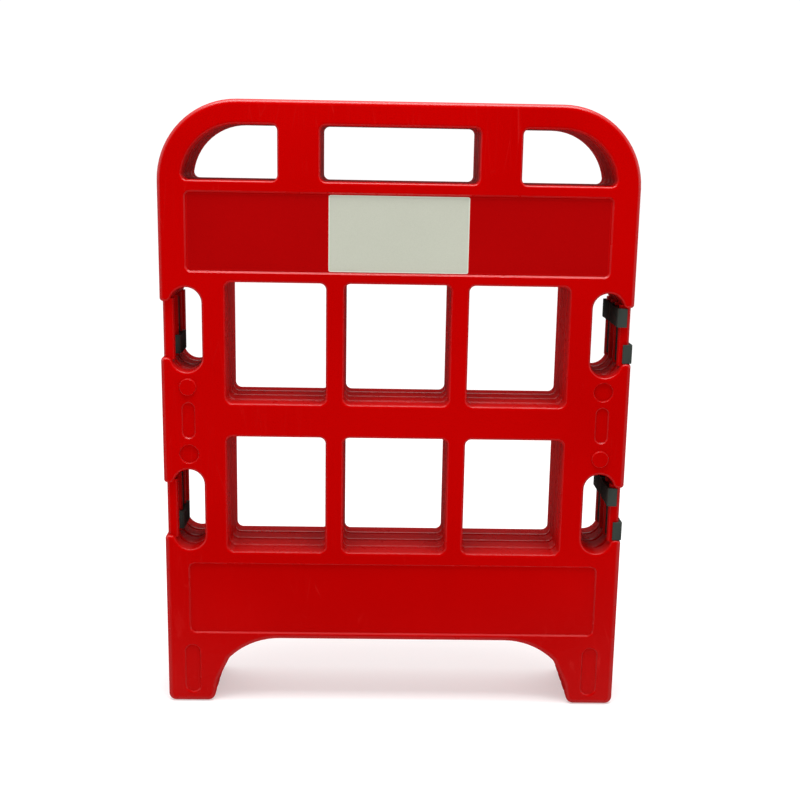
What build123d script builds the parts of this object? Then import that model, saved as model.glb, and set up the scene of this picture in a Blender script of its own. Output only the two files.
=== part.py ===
from build123d import *
import os
from math import radians, tan

# Folding work-gate barrier: four identical hollow-moulded gate panels, chained by
# clips on alternate sides and shown folded into a flat stack. Millimetres, +Z up,
# +X to the right, gate 1 in front (lowest Y). The origin is on the floor at the
# middle of the folded stack. Heights are built up from the floor to the lower
# windows and down from the top edge to the upper ones; widths run in from the sides.

os.makedirs("parts", exist_ok=True)

# ---- Gate panel ---------------------------------------------------------------
gate_count = 4
panel_width = 750.0
panel_height = 988.0
panel_thickness = 34.0
panel_gap = 2.0                 # between the faces of two folded gates
moulding_wall = 2.6
top_corner_r = 125.0
outer_edge_r = 8.5              # roll-over of the outer edge, both faces
opening_edge_r = 5.0            # roll-over of every opening, both faces

# ---- Three grips under the top rail ---------------------------------------------
top_rail = 37.5                 # also the rail round the top corners
grip_height = 84.5
grip_post = 66.0                # upright between two grips
corner_grip_width = 148.5
grip_corner_r = 9.0

# ---- Recessed band for the reflective sheets -------------------------------------
band_rail = 16.0                # from the grips down to the band
band_height = 127.0
band_side_margin = 41.0
band_depth = 3.5
band_corner_r = 10.0
recess_draft = 40.0             # slope of every recess wall, in degrees
recess_edge_r = 1.4             # rounding where a recess wall meets the face

# ---- Reflective sheets -----------------------------------------------------------
sheet_thickness = 0.4
sheet_margin = 1.2              # sheet edge to the foot of the recess wall
sheet_gap = 0.4                 # between neighbouring sheets
sheet_corner_r = 3.0
white_sheet_width = 219.0

# ---- Feet, the arch between them and the recess over the arch -----------------------
foot_width = 76.0               # at the floor, with its corners not yet rounded
foot_ankle = (82.0, 34.0)       # (width, height) where the foot's inner side bends
foot_knee = (102.0, 76.0)       # where it runs into the arch
arch_shoulder = 187.0           # from the side edge to the level top of the arch
arch_height = 112.0
arch_bend_r = 18.0
foot_corner_r = 12.0
foot_recess_width = 27.0
foot_recess_height = 87.0
foot_recess_z = 59.0
foot_recess_inset = 42.0
foot_recess_depth = 2.5
skirt_rail = 10.0               # from the arch up to the recess
skirt_recess_height = 124.0
skirt_side_margin = 37.5
skirt_recess_depth = 3.0
skirt_corner_r = 11.0

# ---- Windows: two rows of three --------------------------------------------------
window_sill = 19.5              # from the lower recess up to the windows
window_rail = 55.0              # between the two rows
window_head = 14.5              # from the windows up to the band
window_column = 103.0           # from the side edge to the first window
window_post = 29.0              # upright between two windows
middle_window_width = 168.0
window_corner_r = 10.0

# ---- Hinge bars, with a slot inside and a notch round each --------------------------
lower_hinge_rise = 90.0         # from the lower recess up to the hinge's middle
upper_hinge_drop = 91.0         # from the band down to the hinge's middle
bar_inset = 12.5                # bar axis to the panel's outer edge
bar_width = 17.5
bar_depth = 16.0
bar_corner_r = 6.0
slot_width = 50.0
slot_height = 135.0
slot_under_bar = 5.25           # how far the slot's outer side passes the bar's inner side
notch_height = 90.0             # straight part of the bar, where a clip turns
notch_corner_r = 8.0            # between the notch's ledge and the slot's round end
bar_root = 4.0                  # bar ends sunk into the moulding

# ---- Nesting pips and dimples, with an oblong recess between them -------------------
pip_inset = 42.5
pip_spacing = 110.5
pip_rise = 1.25                 # the group's middle, over the middle between the hinges
pip_r = 14.0
pip_height = 3.0
pip_draft = 20.0
pip_edge_r = 1.0
dimple_clearance = 1.8          # round the next gate's pip
dimple_depth = 3.5
dimple_draft = 20.0
side_recess_width = 22.0
side_recess_height = 61.0
side_recess_depth = 2.5

# ---- Hinge clips ---------------------------------------------------------------------
clip_clearance = 0.3            # around the bar's corners, and under the clip
clip_play = 1.5                 # clip height less than the notch
clip_wall = 3.7
clip_hook_height = 30.0
clip_web_width = 14.0
clip_reach = 2.0                # how far a prong passes the bar's axis
clip_corner_r = 4.0
clip_edge = 0.6

# ---- Worked out from the above ---------------------------------------------------------
half_width = panel_width / 2
half_thickness = panel_thickness / 2
pitch = panel_thickness + panel_gap
cavity_half = half_thickness - moulding_wall

grip_bottom_z = panel_height - top_rail - grip_height
grip_centre_z = grip_bottom_z + grip_height / 2
corner_grip_inner_x = half_width - top_rail - corner_grip_width
middle_grip_width = 2 * (corner_grip_inner_x - grip_post)

band_width = panel_width - 2 * band_side_margin
band_low_z = grip_bottom_z - band_rail - band_height
band_centre_z = band_low_z + band_height / 2

skirt_recess_width = panel_width - 2 * skirt_side_margin
skirt_recess_low_z = arch_height + skirt_rail
skirt_recess_high_z = skirt_recess_low_z + skirt_recess_height
skirt_centre_z = skirt_recess_low_z + skirt_recess_height / 2
foot_recess_x = half_width - foot_recess_inset

window_low_z = skirt_recess_high_z + window_sill
window_high_z = band_low_z - window_head
window_height = (window_high_z - window_low_z - window_rail) / 2
window_rows_z = (window_low_z + window_height / 2, window_high_z - window_height / 2)
side_window_width = half_width - window_column - window_post - middle_window_width / 2
side_window_x = half_width - window_column - side_window_width / 2

hinge_z = (skirt_recess_high_z + lower_hinge_rise, band_low_z - upper_hinge_drop)
bar_x = half_width - bar_inset
bar_inner_x = bar_x - bar_width / 2
bar_outer_x = bar_x + bar_width / 2
slot_x = bar_inner_x + slot_under_bar - slot_width / 2

pip_x = half_width - pip_inset
pip_group_z = sum(hinge_z) / 2 + pip_rise
pip_z = (pip_group_z - pip_spacing / 2, pip_group_z + pip_spacing / 2)
dimple_r = pip_r + dimple_clearance

bar_turning_r = (
    ((bar_width / 2 - bar_corner_r) ** 2 + (bar_depth / 2 - bar_corner_r) ** 2) ** 0.5
    + bar_corner_r
)
clip_bore_r = bar_turning_r + clip_clearance
clip_outer = clip_bore_r + clip_wall
clip_height = notch_height - clip_play
clip_lift = clip_clearance - clip_play / 2          # the clip stands low in its notch

mid_plane = Plane.XZ
front_face = Plane((0, -half_thickness, 0), x_dir=(1, 0, 0), z_dir=(0, -1, 0))
rear_face = Plane((0, half_thickness, 0), x_dir=(-1, 0, 0), z_dir=(0, 1, 0))
both_faces = (front_face, rear_face)


def gate_y(number):
    """Mid-plane of a gate in the folded stack; gate 1 is in front."""
    return (number - (gate_count + 1) / 2) * pitch


def outline_profile(inset):
    """The gate seen from the front, moved inwards by inset."""
    shoulder = (half_width - arch_shoulder, arch_height)
    knee = (half_width - foot_knee[0], foot_knee[1])
    ankle = (half_width - foot_ankle[0], foot_ankle[1])
    with BuildSketch() as outline:
        Rectangle(panel_width, panel_height, align=(Align.CENTER, Align.MIN))
        fillet(outline.vertices().group_by(Axis.Y)[-1], top_corner_r)
        with BuildLine():
            crown = Line((0, arch_height), shoulder)
            TangentArc(crown @ 1, knee, tangent=crown % 1)
            Polyline(knee, ankle, (half_width - foot_width, 0), (0, 0))
            mirror(about=Plane.YZ)
        make_face(mode=Mode.SUBTRACT)
        bends = outline.vertices().filter_by_position(Axis.Y, ankle[1] - 1, knee[1] + 1)
        fillet(bends, arch_bend_r)
        fillet(outline.vertices().group_by(Axis.Y)[0], foot_corner_r)
        if inset > 0:
            offset(amount=-inset, mode=Mode.REPLACE)
    return outline.sketch


def corner_grip_profile(grow):
    """The right-hand grip hole, whose outer side runs parallel to the gate's corner."""
    rail_r = top_corner_r - top_rail
    with BuildSketch() as grip:
        with Locations((half_width - top_rail, panel_height - top_rail)):
            Rectangle(corner_grip_width, grip_height + rail_r, align=(Align.MAX, Align.MAX))
        fillet(grip.vertices().group_by(Axis.X)[-1].sort_by(Axis.Y)[-1], rail_r)
        with Locations((corner_grip_inner_x, grip_bottom_z)):
            Rectangle(corner_grip_width, grip_height, align=(Align.MIN, Align.MIN), mode=Mode.INTERSECT)
        low_corners = grip.vertices().group_by(Axis.Y)[0]
        top_inner_corner = grip.vertices().group_by(Axis.X)[0].sort_by(Axis.Y)[-1:]
        fillet(low_corners + top_inner_corner, grip_corner_r)
        if grow > 0:
            offset(amount=grow, mode=Mode.REPLACE)
    return grip.sketch


def opening_profiles(grow):
    """The grips and windows, each made larger by grow all round."""
    right_grip = corner_grip_profile(grow)
    with BuildSketch() as openings:
        add(right_grip)
        add(mirror(right_grip, about=Plane.YZ, mode=Mode.PRIVATE))
        with Locations((0, grip_centre_z)):
            RectangleRounded(middle_grip_width + 2 * grow, grip_height + 2 * grow, grip_corner_r + grow)
        for row_z in window_rows_z:
            with Locations((0, row_z)):
                RectangleRounded(
                    middle_window_width + 2 * grow, window_height + 2 * grow, window_corner_r + grow
                )
            with Locations((-side_window_x, row_z), (side_window_x, row_z)):
                RectangleRounded(
                    side_window_width + 2 * grow, window_height + 2 * grow, window_corner_r + grow
                )
    return openings.sketch


def hinge_profile(grow):
    """The right-hand slots with the notch that opens each to the outer edge, made larger by grow."""
    with BuildSketch() as hinges:
        for z in hinge_z:
            with Locations((slot_x, z)):
                SlotOverall(slot_height, slot_width, rotation=90)
            with Locations((bar_inner_x, z)):
                Rectangle(
                    half_width - bar_inner_x + outer_edge_r, notch_height, align=(Align.MIN, Align.CENTER)
                )
        ledge_ends = hinges.vertices().filter_by_position(Axis.X, bar_inner_x, slot_x + slot_width / 2)
        fillet(ledge_ends, notch_corner_r)
        if grow > 0:
            offset(amount=grow, mode=Mode.REPLACE)
    return hinges.sketch


def recess_profiles(grow):
    """Sunken areas of one face as (profile, depth, wall slope), seen from outside that face."""
    with BuildSketch() as band:
        with Locations((0, band_centre_z)):
            RectangleRounded(band_width + 2 * grow, band_height + 2 * grow, band_corner_r + grow)
    with BuildSketch() as skirt:
        with Locations((0, skirt_centre_z)):
            RectangleRounded(
                skirt_recess_width + 2 * grow, skirt_recess_height + 2 * grow, skirt_corner_r + grow
            )
    with BuildSketch() as side_slots:
        with Locations((-pip_x, pip_group_z), (pip_x, pip_group_z)):
            SlotOverall(side_recess_height + 2 * grow, side_recess_width + 2 * grow, rotation=90)
    with BuildSketch() as foot_slots:
        with Locations((-foot_recess_x, foot_recess_z), (foot_recess_x, foot_recess_z)):
            SlotOverall(foot_recess_height + 2 * grow, foot_recess_width + 2 * grow, rotation=90)
    with BuildSketch() as dimples:
        with Locations((-pip_x, pip_z[0]), (pip_x, pip_z[1])):
            Circle(dimple_r + grow)
    return (
        (band.sketch, band_depth, recess_draft),
        (skirt.sketch, skirt_recess_depth, recess_draft),
        (side_slots.sketch, side_recess_depth, recess_draft),
        (foot_slots.sketch, foot_recess_depth, recess_draft),
        (dimples.sketch, dimple_depth, dimple_draft),
    )


def hinge_profiles(grow):
    """The hinge openings of both sides."""
    right_hinges = hinge_profile(grow)
    with BuildSketch() as both_sides:
        add(right_hinges)
        add(mirror(right_hinges, about=Plane.YZ, mode=Mode.PRIVATE))
    return both_sides.sketch


def edges_at(edges, y):
    """Those of some edges that lie at one depth."""
    reach = 0.01
    return edges.filter_by_position(Axis.Y, y - reach, y + reach)


# ---- The hollow inside the moulding -----------------------------------------------------
# It stays one wall away from both faces, the outline, every opening and every recess,
# so it ends short of the hinge bars, which are solid.
with BuildPart() as cavity:
    with BuildSketch(mid_plane):
        add(outline_profile(moulding_wall))
    extrude(amount=cavity_half, both=True)
    rims = cavity.faces().sort_by(Axis.Y)
    fillet(rims[0].edges() + rims[-1].edges(), outer_edge_r - moulding_wall)
    with BuildSketch(mid_plane):
        add(opening_profiles(moulding_wall))
        add(hinge_profiles(moulding_wall))
    extrude(amount=cavity_half, both=True, mode=Mode.SUBTRACT)
    for face in both_faces:
        for profile, depth, slope in recess_profiles(moulding_wall):
            with BuildSketch(face):
                add(profile)
            extrude(amount=-(depth + moulding_wall), mode=Mode.SUBTRACT)

# ---- One gate panel, centred on the XZ plane ------------------------------------------------
with BuildPart() as panel:
    with BuildSketch(mid_plane):
        add(outline_profile(0))
    extrude(amount=half_thickness, both=True)
    rims = panel.faces().sort_by(Axis.Y)
    fillet(rims[0].edges() + rims[-1].edges(), outer_edge_r)
    for openings in (opening_profiles(0), hinge_profiles(0)):
        with BuildSketch(mid_plane):
            add(openings)
        extrude(amount=half_thickness, both=True, mode=Mode.SUBTRACT)
        cut_edges = panel.edges(Select.LAST)
        rim_edges = edges_at(cut_edges, -half_thickness) + edges_at(cut_edges, half_thickness)
        fillet(rim_edges, opening_edge_r)
    # Sunken areas, the same on both faces as seen from outside, with rounded rims.
    for face in both_faces:
        for profile, depth, slope in recess_profiles(0):
            with BuildSketch(face):
                add(profile)
            extrude(amount=-depth, taper=slope, mode=Mode.SUBTRACT)
            fillet(edges_at(panel.edges(Select.LAST), face.origin.Y), recess_edge_r)
    # Pips that nest in the next gate's dimples.
    for face in both_faces:
        with BuildSketch(face):
            with Locations((-pip_x, pip_z[1]), (pip_x, pip_z[0])):
                Circle(pip_r)
        extrude(amount=pip_height, taper=pip_draft)
        pip_top_y = face.origin.Y + face.z_dir.Y * pip_height
        fillet(edges_at(panel.edges(Select.LAST), pip_top_y), pip_edge_r)
    for z in hinge_z:
        with BuildSketch(Plane.XY.offset(z - notch_height / 2 - bar_root)):
            with Locations((-bar_x, 0), (bar_x, 0)):
                RectangleRounded(bar_width, bar_depth, bar_corner_r)
        extrude(amount=notch_height + 2 * bar_root)
    add(cavity.part, mode=Mode.SUBTRACT)

for number in range(1, gate_count + 1):
    with BuildPart() as gate:
        with Locations((0, gate_y(number), 0)):
            add(panel.part)
    gate.part.label = f"gate_panel_{number}"
    export_step(gate.part, f"parts/gate_panel_{number}.step")

# ---- Reflective sheets, three on each face of each gate --------------------------------------
band_slope = band_depth * tan(radians(recess_draft))
sheet_height = band_height - 2 * band_slope - 2 * sheet_margin
red_sheet_width = (band_width - white_sheet_width) / 2 - band_slope - sheet_margin - sheet_gap
red_sheet_x = white_sheet_width / 2 + sheet_gap + red_sheet_width / 2
sheet_places = {
    "left_red": (-red_sheet_x, red_sheet_width),
    "white": (0, white_sheet_width),
    "right_red": (red_sheet_x, red_sheet_width),
}

for number in range(1, gate_count + 1):
    for side_name, face in (("front", front_face), ("rear", rear_face)):
        for colour, (sheet_x, sheet_width) in sheet_places.items():
            band_floor = Plane(
                face.origin - face.z_dir * band_depth + Vector(0, gate_y(number), 0),
                x_dir=face.x_dir,
                z_dir=face.z_dir,
            )
            with BuildPart() as sheet:
                with BuildSketch(band_floor):
                    with Locations((sheet_x, band_centre_z)):
                        RectangleRounded(sheet_width, sheet_height, sheet_corner_r)
                extrude(amount=sheet_thickness)
            name = f"{side_name}_{colour}_sheet_{number}"
            sheet.part.label = name
            export_step(sheet.part, f"parts/{name}.step")

# ---- Hinge clip ---------------------------------------------------------------------------------
# One moulding with two bar channels. Its upper hooks are closed on the -X side and its
# lower hooks on the +X side, so it goes on at a slant and can't come off once upright.
# It is centred between two bars that stand one pitch apart in Y.
with BuildPart() as clip:
    with BuildSketch(Plane.XY.offset(-clip_height / 2)):
        Rectangle(clip_web_width, pitch - 2 * clip_bore_r)
    extrude(amount=clip_height)
    for closed_side, base in ((-1, clip_height / 2 - clip_hook_height), (1, -clip_height / 2)):
        closed_x = closed_side * clip_outer
        open_x = -closed_side * clip_reach
        with BuildSketch(Plane.XY.offset(base)) as hook:
            with Locations(((closed_x + open_x) / 2, 0)):
                Rectangle(clip_outer + clip_reach, pitch + 2 * clip_outer)
            fillet(hook.vertices().group_by(Axis.X)[0 if closed_side < 0 else -1], clip_corner_r)
            with Locations((0, -pitch / 2), (0, pitch / 2)):
                Circle(clip_bore_r, mode=Mode.SUBTRACT)
            with Locations((open_x / 2, -pitch / 2), (open_x / 2, pitch / 2)):
                Rectangle(clip_reach, 2 * clip_bore_r, mode=Mode.SUBTRACT)
        extrude(amount=clip_hook_height)
    ends = clip.faces().filter_by(Axis.Z)
    chamfer(ends.sort_by(Axis.Z)[0].edges() + ends.sort_by(Axis.Z)[-1].edges(), clip_edge)

# Gates 1-2 and 3-4 are clipped on the right, gates 2-3 on the left, where the clip is
# turned over about Y.
for number in range(1, gate_count):
    side = 1 if number % 2 == 1 else -1
    for level, z in zip(("lower", "upper"), hinge_z):
        with BuildPart() as placed_clip:
            with Locations((side * bar_x, (gate_y(number) + gate_y(number + 1)) / 2, z + clip_lift)):
                add(clip.part, rotation=(0, 0 if side == 1 else 180, 0))
        name = f"{level}_clip_{number}_{number + 1}"
        placed_clip.part.label = name
        export_step(placed_clip.part, f"parts/{name}.step")
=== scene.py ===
import bpy
import math
from mathutils import Euler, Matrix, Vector


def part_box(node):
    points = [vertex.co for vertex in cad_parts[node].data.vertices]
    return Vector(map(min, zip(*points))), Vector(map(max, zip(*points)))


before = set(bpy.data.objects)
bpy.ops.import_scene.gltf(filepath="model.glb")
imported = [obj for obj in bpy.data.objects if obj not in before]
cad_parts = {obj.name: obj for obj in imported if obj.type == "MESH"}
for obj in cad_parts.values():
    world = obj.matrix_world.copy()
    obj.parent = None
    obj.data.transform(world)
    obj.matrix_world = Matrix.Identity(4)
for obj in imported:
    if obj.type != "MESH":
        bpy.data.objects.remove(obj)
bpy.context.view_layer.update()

# ---- Sizes, in metres, and light levels ------------------------------------------
CAMERA_LENS_MM = 53.3
CAMERA_PLACE = (-0.0295, -1.9253, 0.9191)
CAMERA_PITCH_DEG = 12.02        # below the horizon
CAMERA_YAW_DEG = 1.10           # towards +X
CAMERA_ROLL_DEG = 1.01

WORLD_FRONT = 0.20              # brightness at the horizon ahead of the front gate
WORLD_BACK = 0.95               # at the horizon behind the last gate
WORLD_TOP = 0.70                # added overhead
MIRRORED_DARK = 0.05            # what gloss mirrors: dark flags all round,
MIRRORED_SIDES = 1.1            # white boards at the two sides
MIRRORED_TOP = 2.2              # and a soft box overhead
WORLD_SEEN = 1.05               # what the camera sees past the floor
OVERHEAD_WATTS = 52
OVERHEAD_PLACE = (0.0, -0.55, 2.7)
OVERHEAD_TARGET = (0.0, 0.0, 0.5)
OVERHEAD_SIZE = (2.2, 1.0)
FLOOR_HALF = 30.0
FLOOR_PAPER = (0.62, 0.62, 0.62, 1)
FLOOR_MIRRORED = (0.03, 0.03, 0.03, 1)
FLOOR_ROUGHNESS = 0.9
FLOOR_GLOW = 0.42               # lifts the shadow on the white paper
SENSOR_WIDTH_MM = 36.0
SHEET_EDGE_HIGHLIGHT = (0.0008, 0.0018)    # a painted highlight on a sheet's cut edge fades out between these

GATES = [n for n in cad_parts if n.startswith("gate_panel")]
CLIPS = [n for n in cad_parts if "_clip_" in n]
SHEETS = [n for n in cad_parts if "_sheet_" in n]


# ---- Shader building ---------------------------------------------------------------
class Shader:
    """A material's node tree, with short calls for the few node types used here."""

    def __init__(self, name):
        self.material = bpy.data.materials.new(name)
        self.material.use_nodes = True
        self.tree = self.material.node_tree
        self.bsdf = next(n for n in self.tree.nodes if n.type == "BSDF_PRINCIPLED")
        coordinates = self.tree.nodes.new("ShaderNodeTexCoord")
        self.place = coordinates.outputs["Object"]
        self.unit_place = coordinates.outputs["Generated"]

    def link(self, value, socket):
        if isinstance(value, bpy.types.NodeSocket):
            self.tree.links.new(value, socket)
        else:
            socket.default_value = value

    def set(self, **values):
        for name, value in values.items():
            self.link(value, self.bsdf.inputs[name.replace("_", " ")])

    def math(self, operation, a, b=0.0):
        node = self.tree.nodes.new("ShaderNodeMath")
        node.operation = operation
        for socket, value in zip(node.inputs, (a, b)):
            self.link(value, socket)
        return node.outputs[0]

    def noise(self, scale, detail=3.0, roughness=0.5, place=None):
        node = self.tree.nodes.new("ShaderNodeTexNoise")
        self.link(place or self.place, node.inputs["Vector"])
        self.link(scale, node.inputs["Scale"])
        self.link(detail, node.inputs["Detail"])
        self.link(roughness, node.inputs["Roughness"])
        return node.outputs["Fac"]

    def voronoi(self, scale, feature="F1", place=None, output="Distance"):
        node = self.tree.nodes.new("ShaderNodeTexVoronoi")
        node.feature = feature
        self.link(place or self.place, node.inputs["Vector"])
        self.link(scale, node.inputs["Scale"])
        return node.outputs[output]

    def stretch(self, scale=(1, 1, 1), turn_deg=(0, 0, 0), place=None):
        node = self.tree.nodes.new("ShaderNodeMapping")
        self.link(place or self.place, node.inputs["Vector"])
        node.inputs["Scale"].default_value = scale
        node.inputs["Rotation"].default_value = [math.radians(a) for a in turn_deg]
        return node.outputs["Vector"]

    def ramp(self, value, low, high, low_out=0.0, high_out=1.0):
        node = self.tree.nodes.new("ShaderNodeMapRange")
        node.interpolation_type = "SMOOTHSTEP"
        for name, number in (
            ("Value", value),
            ("From Min", low),
            ("From Max", high),
            ("To Min", low_out),
            ("To Max", high_out),
        ):
            self.link(number, node.inputs[name])
        return node.outputs["Result"]

    def mix(self, share, first, second):
        node = self.tree.nodes.new("ShaderNodeMix")
        node.data_type = "RGBA"
        self.link(share, node.inputs["Factor"])
        self.link(first, node.inputs["A"])
        self.link(second, node.inputs["B"])
        return node.outputs["Result"]

    def xyz(self, place=None):
        node = self.tree.nodes.new("ShaderNodeSeparateXYZ")
        self.link(place or self.place, node.inputs["Vector"])
        return node.outputs["X"], node.outputs["Y"], node.outputs["Z"]

    def bump(self, height, distance, strength=1.0, under=None):
        node = self.tree.nodes.new("ShaderNodeBump")
        self.link(height, node.inputs["Height"])
        node.inputs["Distance"].default_value = distance
        node.inputs["Strength"].default_value = strength
        if under is not None:
            self.link(under, node.inputs["Normal"])
        return node.outputs["Normal"]

    def turned_gloss(self, square_on, turned):
        """Specular level: low square on, where satin looks matt, high on rounded edges, low at a graze."""
        weight = self.tree.nodes.new("ShaderNodeLayerWeight")
        weight.inputs["Blend"].default_value = 0.5
        level = self.ramp(weight.outputs["Facing"], 0.06, 0.32, square_on, turned)
        fall = self.ramp(weight.outputs["Facing"], 0.45, 0.78, 1.0, 0.04)
        return self.math("MULTIPLY", level, fall)

    def pointiness(self):
        return self.tree.nodes.new("ShaderNodeNewGeometry").outputs["Pointiness"]


# ---- Materials -----------------------------------------------------------------------
RED = (0.50, 0.0002, 0.0002, 1)
RED_DEEP = (0.455, 0.0001, 0.0001, 1)
RED_SCUFFED = (0.72, 0.045, 0.040, 1)
RED_DIRTY = (0.20, 0.010, 0.008, 1)
# The third colour of each sheet is a painted highlight for its cut edge.
RED_SHEET = ((0.43, 0.001, 0.0015, 1), (0.33, 0.0008, 0.001, 1), (0.55, 0.004, 0.004, 1))
WHITE_SHEET = ((0.55, 0.565, 0.475, 1), (0.46, 0.475, 0.395, 1), (0.74, 0.77, 0.66, 1))
NYLON = (0.0060, 0.0100, 0.0075, 1)
NYLON_PALE = (0.0110, 0.0160, 0.0120, 1)
NYLON_RUBBED = (0.075, 0.090, 0.080, 1)


def scratch_mask(shader, seed, density):
    """Thin, sparse, nearly straight scratches in one direction, as a 0 to 1 mask."""
    turned = shader.stretch((26, 26, 1.6), (17 * seed, 31 * seed, 23 * seed))
    lines = shader.voronoi(density, "DISTANCE_TO_EDGE", turned)
    thin = shader.ramp(lines, 0.0, 0.012, 1.0, 0.0)
    patchy = shader.ramp(shader.noise(5.0 + seed, 2.0), 0.56, 0.70)
    return shader.math("MULTIPLY", thin, patchy)


def gate_plastic(number):
    """Blow-moulded polyethylene: satin, faintly rippled, with a fine mould grain and light scuffs."""
    shader = Shader(f"gate_plastic_{number}")
    offset_place = shader.stretch((1, 1, 1), (0, 0, 0))
    offset_place.node.inputs["Location"].default_value = (3.1 * number, 1.7 * number, 0.9 * number)
    cloud = shader.noise(3.2, 3.0, 0.5, offset_place)
    colour = shader.mix(shader.ramp(cloud, 0.35, 0.7), RED, RED_DEEP)
    long_scratches = scratch_mask(shader, number, 2.4)
    short_scratches = scratch_mask(shader, number + 7, 3.1)
    scratches = shader.math("MAXIMUM", long_scratches, short_scratches)
    colour = shader.mix(shader.math("MULTIPLY", scratches, 0.14), colour, RED_SCUFFED)
    low_down = shader.ramp(shader.xyz()[2], 0.02, 0.20, 1.0, 0.0)
    slanted = shader.stretch((1, 1, 0.35), (0, 20 + 9 * number, 0), offset_place)
    dragged = shader.noise(30.0, 5.0, 0.7, slanted)
    scuffs = shader.math("MULTIPLY", low_down, shader.ramp(dragged, 0.60, 0.68))
    specks = shader.ramp(shader.noise(260.0, 2.0, 0.5, offset_place), 0.70, 0.76)
    where_dirty = shader.ramp(shader.noise(2.6, 2.0, 0.5, offset_place), 0.42, 0.6)
    dirt = shader.math("MULTIPLY", specks, where_dirty)
    colour = shader.mix(shader.math("MULTIPLY", scuffs, 0.22), colour, RED_SCUFFED)
    colour = shader.mix(shader.math("MULTIPLY", dirt, 0.14), colour, RED_DIRTY)
    smear = shader.noise(9.0, 4.0, 0.6, offset_place)
    roughness = shader.ramp(smear, 0.3, 0.7, 0.24, 0.34)
    roughness = shader.math("ADD", roughness, shader.math("MULTIPLY", scratches, 0.2))
    grain = shader.noise(900.0, 2.0, 0.5)
    ripple = shader.noise(22.0, 1.0, 0.4, offset_place)
    normal = shader.bump(ripple, 0.00012, 0.2)
    normal = shader.bump(grain, 0.00003, 0.5, normal)
    normal = shader.bump(scratches, -0.00004, 0.5, normal)
    shader.set(Base_Color=colour, Roughness=roughness, Normal=normal)
    shader.set(Specular_IOR_Level=shader.turned_gloss(0.004, 0.62), IOR=1.5)
    return shader.material


def reflective_sheet(name, size, colours, edge_highlight_share):
    """Retroreflective sheet: tiny sealed cells under a smooth film, with a painted highlight along the cut
    edge.
    """
    colour, deep, edge_highlight_colour = colours
    shader = Shader(name)
    unit_x, _, unit_z = shader.xyz(shader.unit_place)
    from_side = shader.math("MULTIPLY", shader.math("PINGPONG", unit_x, 0.5), size[0])
    from_end = shader.math("MULTIPLY", shader.math("PINGPONG", unit_z, 0.5), size[1])
    from_edge = shader.math("MINIMUM", from_side, from_end)
    # Painted highlight: the colour turns lighter within a couple of millimetres of the sheet's cut edge.
    painted_edge_highlight = shader.ramp(from_edge, *SHEET_EDGE_HIGHLIGHT, 1.0, 0.0)
    beads = shader.voronoi(1400.0, "F1", output="Color")
    bead_value = shader.tree.nodes.new("ShaderNodeSeparateColor")
    shader.link(beads, bead_value.inputs["Color"])
    sparkle = shader.ramp(bead_value.outputs["Red"], 0.2, 1.0)
    cloud = shader.noise(6.0, 3.0, 0.55)
    cells = shader.math("MULTIPLY", sparkle, 0.35)
    tone = shader.math("ADD", cells, shader.math("MULTIPLY", cloud, 0.6))
    base = shader.mix(tone, colour, deep)
    base = shader.mix(shader.math("MULTIPLY", painted_edge_highlight, edge_highlight_share), base, edge_highlight_colour)
    film = shader.noise(45.0, 3.0, 0.5)
    shader.set(Base_Color=base, Roughness=shader.ramp(film, 0.3, 0.7, 0.30, 0.42))
    normal = shader.bump(film, 0.0001, 0.15)
    shader.set(Normal=shader.bump(bead_value.outputs["Red"], 0.00001, 0.4, normal))
    shader.set(Specular_IOR_Level=shader.turned_gloss(0.008, 0.4))
    return shader.material


def clip_plastic():
    """Black moulded nylon with a fine spark-eroded grain and rubbed corners."""
    shader = Shader("clip_nylon")
    cloud = shader.noise(60.0, 3.0)
    colour = shader.mix(cloud, NYLON, NYLON_PALE)
    rubbed = shader.math("MULTIPLY", shader.ramp(shader.pointiness(), 0.52, 0.62), 0.5)
    colour = shader.mix(rubbed, colour, NYLON_RUBBED)
    grain = shader.noise(1800.0, 2.0)
    shader.set(Base_Color=colour, Roughness=shader.ramp(cloud, 0.3, 0.7, 0.36, 0.52))
    shader.set(Normal=shader.bump(grain, 0.00004, 0.6))
    shader.set(Specular_IOR_Level=shader.turned_gloss(0.01, 0.25))
    return shader.material


def dress(node, material):
    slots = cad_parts[node].data.materials
    if not slots:
        slots.append(material)
    for i in range(len(slots)):
        slots[i] = material


def dress_all():
    for node in GATES:
        dress(node, gate_plastic(int(node.rsplit("_", 1)[1])))
    low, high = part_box("front_white_sheet_1")
    sheet_size = (high.x - low.x, high.z - low.z)
    red = reflective_sheet("red_reflective", sheet_size, RED_SHEET, 0.5)
    white = reflective_sheet("white_reflective", sheet_size, WHITE_SHEET, 0.8)
    for node in SHEETS:
        dress(node, white if "white" in node else red)
    nylon = clip_plastic()
    for node in CLIPS:
        dress(node, nylon)


# ---- Floor, light and camera --------------------------------------------------------------
def floor_paper():
    """White paper with a slight glow, which a glossy surface mirrors as dark."""
    shader = Shader("floor_paper")
    mirrored = shader.tree.nodes.new("ShaderNodeLightPath").outputs["Is Glossy Ray"]
    glow = shader.tree.nodes.new("ShaderNodeMapRange")
    shader.link(mirrored, glow.inputs["Value"])
    shader.link(FLOOR_GLOW, glow.inputs["To Min"])
    shader.link(0.0, glow.inputs["To Max"])
    shader.set(Base_Color=shader.mix(mirrored, FLOOR_PAPER, FLOOR_MIRRORED), Roughness=FLOOR_ROUGHNESS)
    shader.set(Specular_IOR_Level=0.0)
    shader.set(Emission_Color=(1, 1, 1, 1), Emission_Strength=glow.outputs["Result"])
    return shader.material


def build_floor():
    mesh = bpy.data.meshes.new("floor")
    corners = [(x * FLOOR_HALF, y * FLOOR_HALF, 0) for x, y in ((-1, -1), (1, -1), (1, 1), (-1, 1))]
    mesh.from_pydata(corners, [], [(0, 1, 2, 3)])
    floor = bpy.data.objects.new("floor", mesh)
    bpy.context.scene.collection.objects.link(floor)
    mesh.materials.append(floor_paper())


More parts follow.
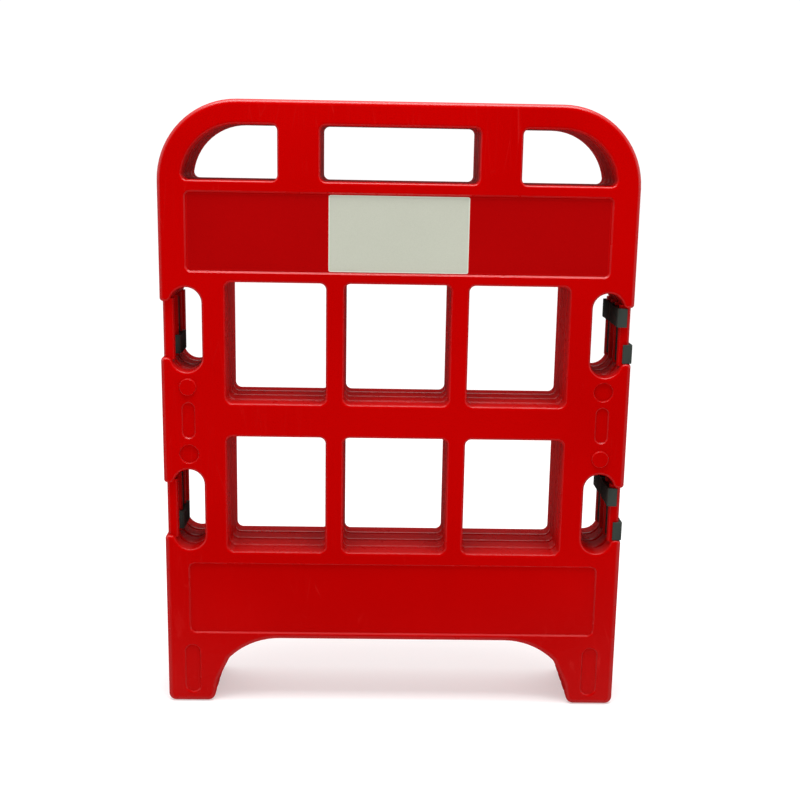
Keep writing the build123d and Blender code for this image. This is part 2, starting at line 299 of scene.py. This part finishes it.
def area_light(name, place, target, size, power):
    light = bpy.data.lights.new(name, "AREA")
    light.shape = "RECTANGLE"
    light.size, light.size_y = size
    light.energy = power
    lamp = bpy.data.objects.new(name, light)
    bpy.context.scene.collection.objects.link(lamp)
    lamp.location = place
    lamp.rotation_euler = (Vector(target) - Vector(place)).to_track_quat("-Z", "Y").to_euler()


def build_world():
    """White to the eye; to mirror rays it is dark but for the sides and the top."""
    world = bpy.data.worlds.new("studio")
    bpy.context.scene.world = world
    world.use_nodes = True
    nodes, links = world.node_tree.nodes, world.node_tree.links

    def graded(value, low, high, low_out, high_out):
        node = nodes.new("ShaderNodeMapRange")
        links.new(value, node.inputs["Value"])
        limits = {"From Min": low, "From Max": high, "To Min": low_out, "To Max": high_out}
        for name, number in limits.items():
            node.inputs[name].default_value = number
        return node.outputs["Result"]

    def maths(operation, first, second=None):
        node = nodes.new("ShaderNodeMath")
        node.operation = operation
        links.new(first, node.inputs[0])
        if second is not None:
            links.new(second, node.inputs[1])
        return node.outputs[0]

    def either(share, first, second):
        node = nodes.new("ShaderNodeMix")
        node.data_type = "FLOAT"
        links.new(share, node.inputs["Factor"])
        for value, socket in ((first, node.inputs["A"]), (second, node.inputs["B"])):
            if isinstance(value, float):
                socket.default_value = value
            else:
                links.new(value, socket)
        return node.outputs["Result"]

    direction = nodes.new("ShaderNodeSeparateXYZ")
    links.new(nodes.new("ShaderNodeTexCoord").outputs["Generated"], direction.inputs["Vector"])
    across, along, up = direction.outputs
    level = graded(along, -0.8, 0.5, WORLD_FRONT, WORLD_BACK)
    level = maths("ADD", level, graded(up, 0.35, 0.95, 0.0, WORLD_TOP))
    sides = graded(maths("ABSOLUTE", across), 0.55, 0.95, MIRRORED_DARK, MIRRORED_SIDES)
    mirrored = maths("ADD", sides, graded(up, 0.55, 0.95, 0.0, MIRRORED_TOP))
    path = nodes.new("ShaderNodeLightPath")
    strength = either(path.outputs["Is Glossy Ray"], level, mirrored)
    strength = either(path.outputs["Is Camera Ray"], strength, WORLD_SEEN)
    background = nodes["Background"]
    background.inputs["Color"].default_value = (1, 1, 1, 1)
    links.new(strength, background.inputs["Strength"])


def build_lights():
    build_world()
    area_light("overhead", OVERHEAD_PLACE, OVERHEAD_TARGET, OVERHEAD_SIZE, OVERHEAD_WATTS)


def build_camera():
    camera = bpy.data.cameras.new("photo_view")
    camera.lens = CAMERA_LENS_MM
    camera.sensor_width = SENSOR_WIDTH_MM
    rig = bpy.data.objects.new("photo_view", camera)
    bpy.context.scene.collection.objects.link(rig)
    rig.location = CAMERA_PLACE
    look = Euler((math.radians(90 - CAMERA_PITCH_DEG), 0, math.radians(-CAMERA_YAW_DEG)), "XYZ")
    roll = Euler((0, 0, math.radians(CAMERA_ROLL_DEG)), "XYZ")
    rig.rotation_euler = (look.to_matrix() @ roll.to_matrix()).to_euler()
    bpy.context.scene.camera = rig


bpy.context.scene.view_settings.view_transform = "Standard"
dress_all()
build_floor()
build_lights()
build_camera()
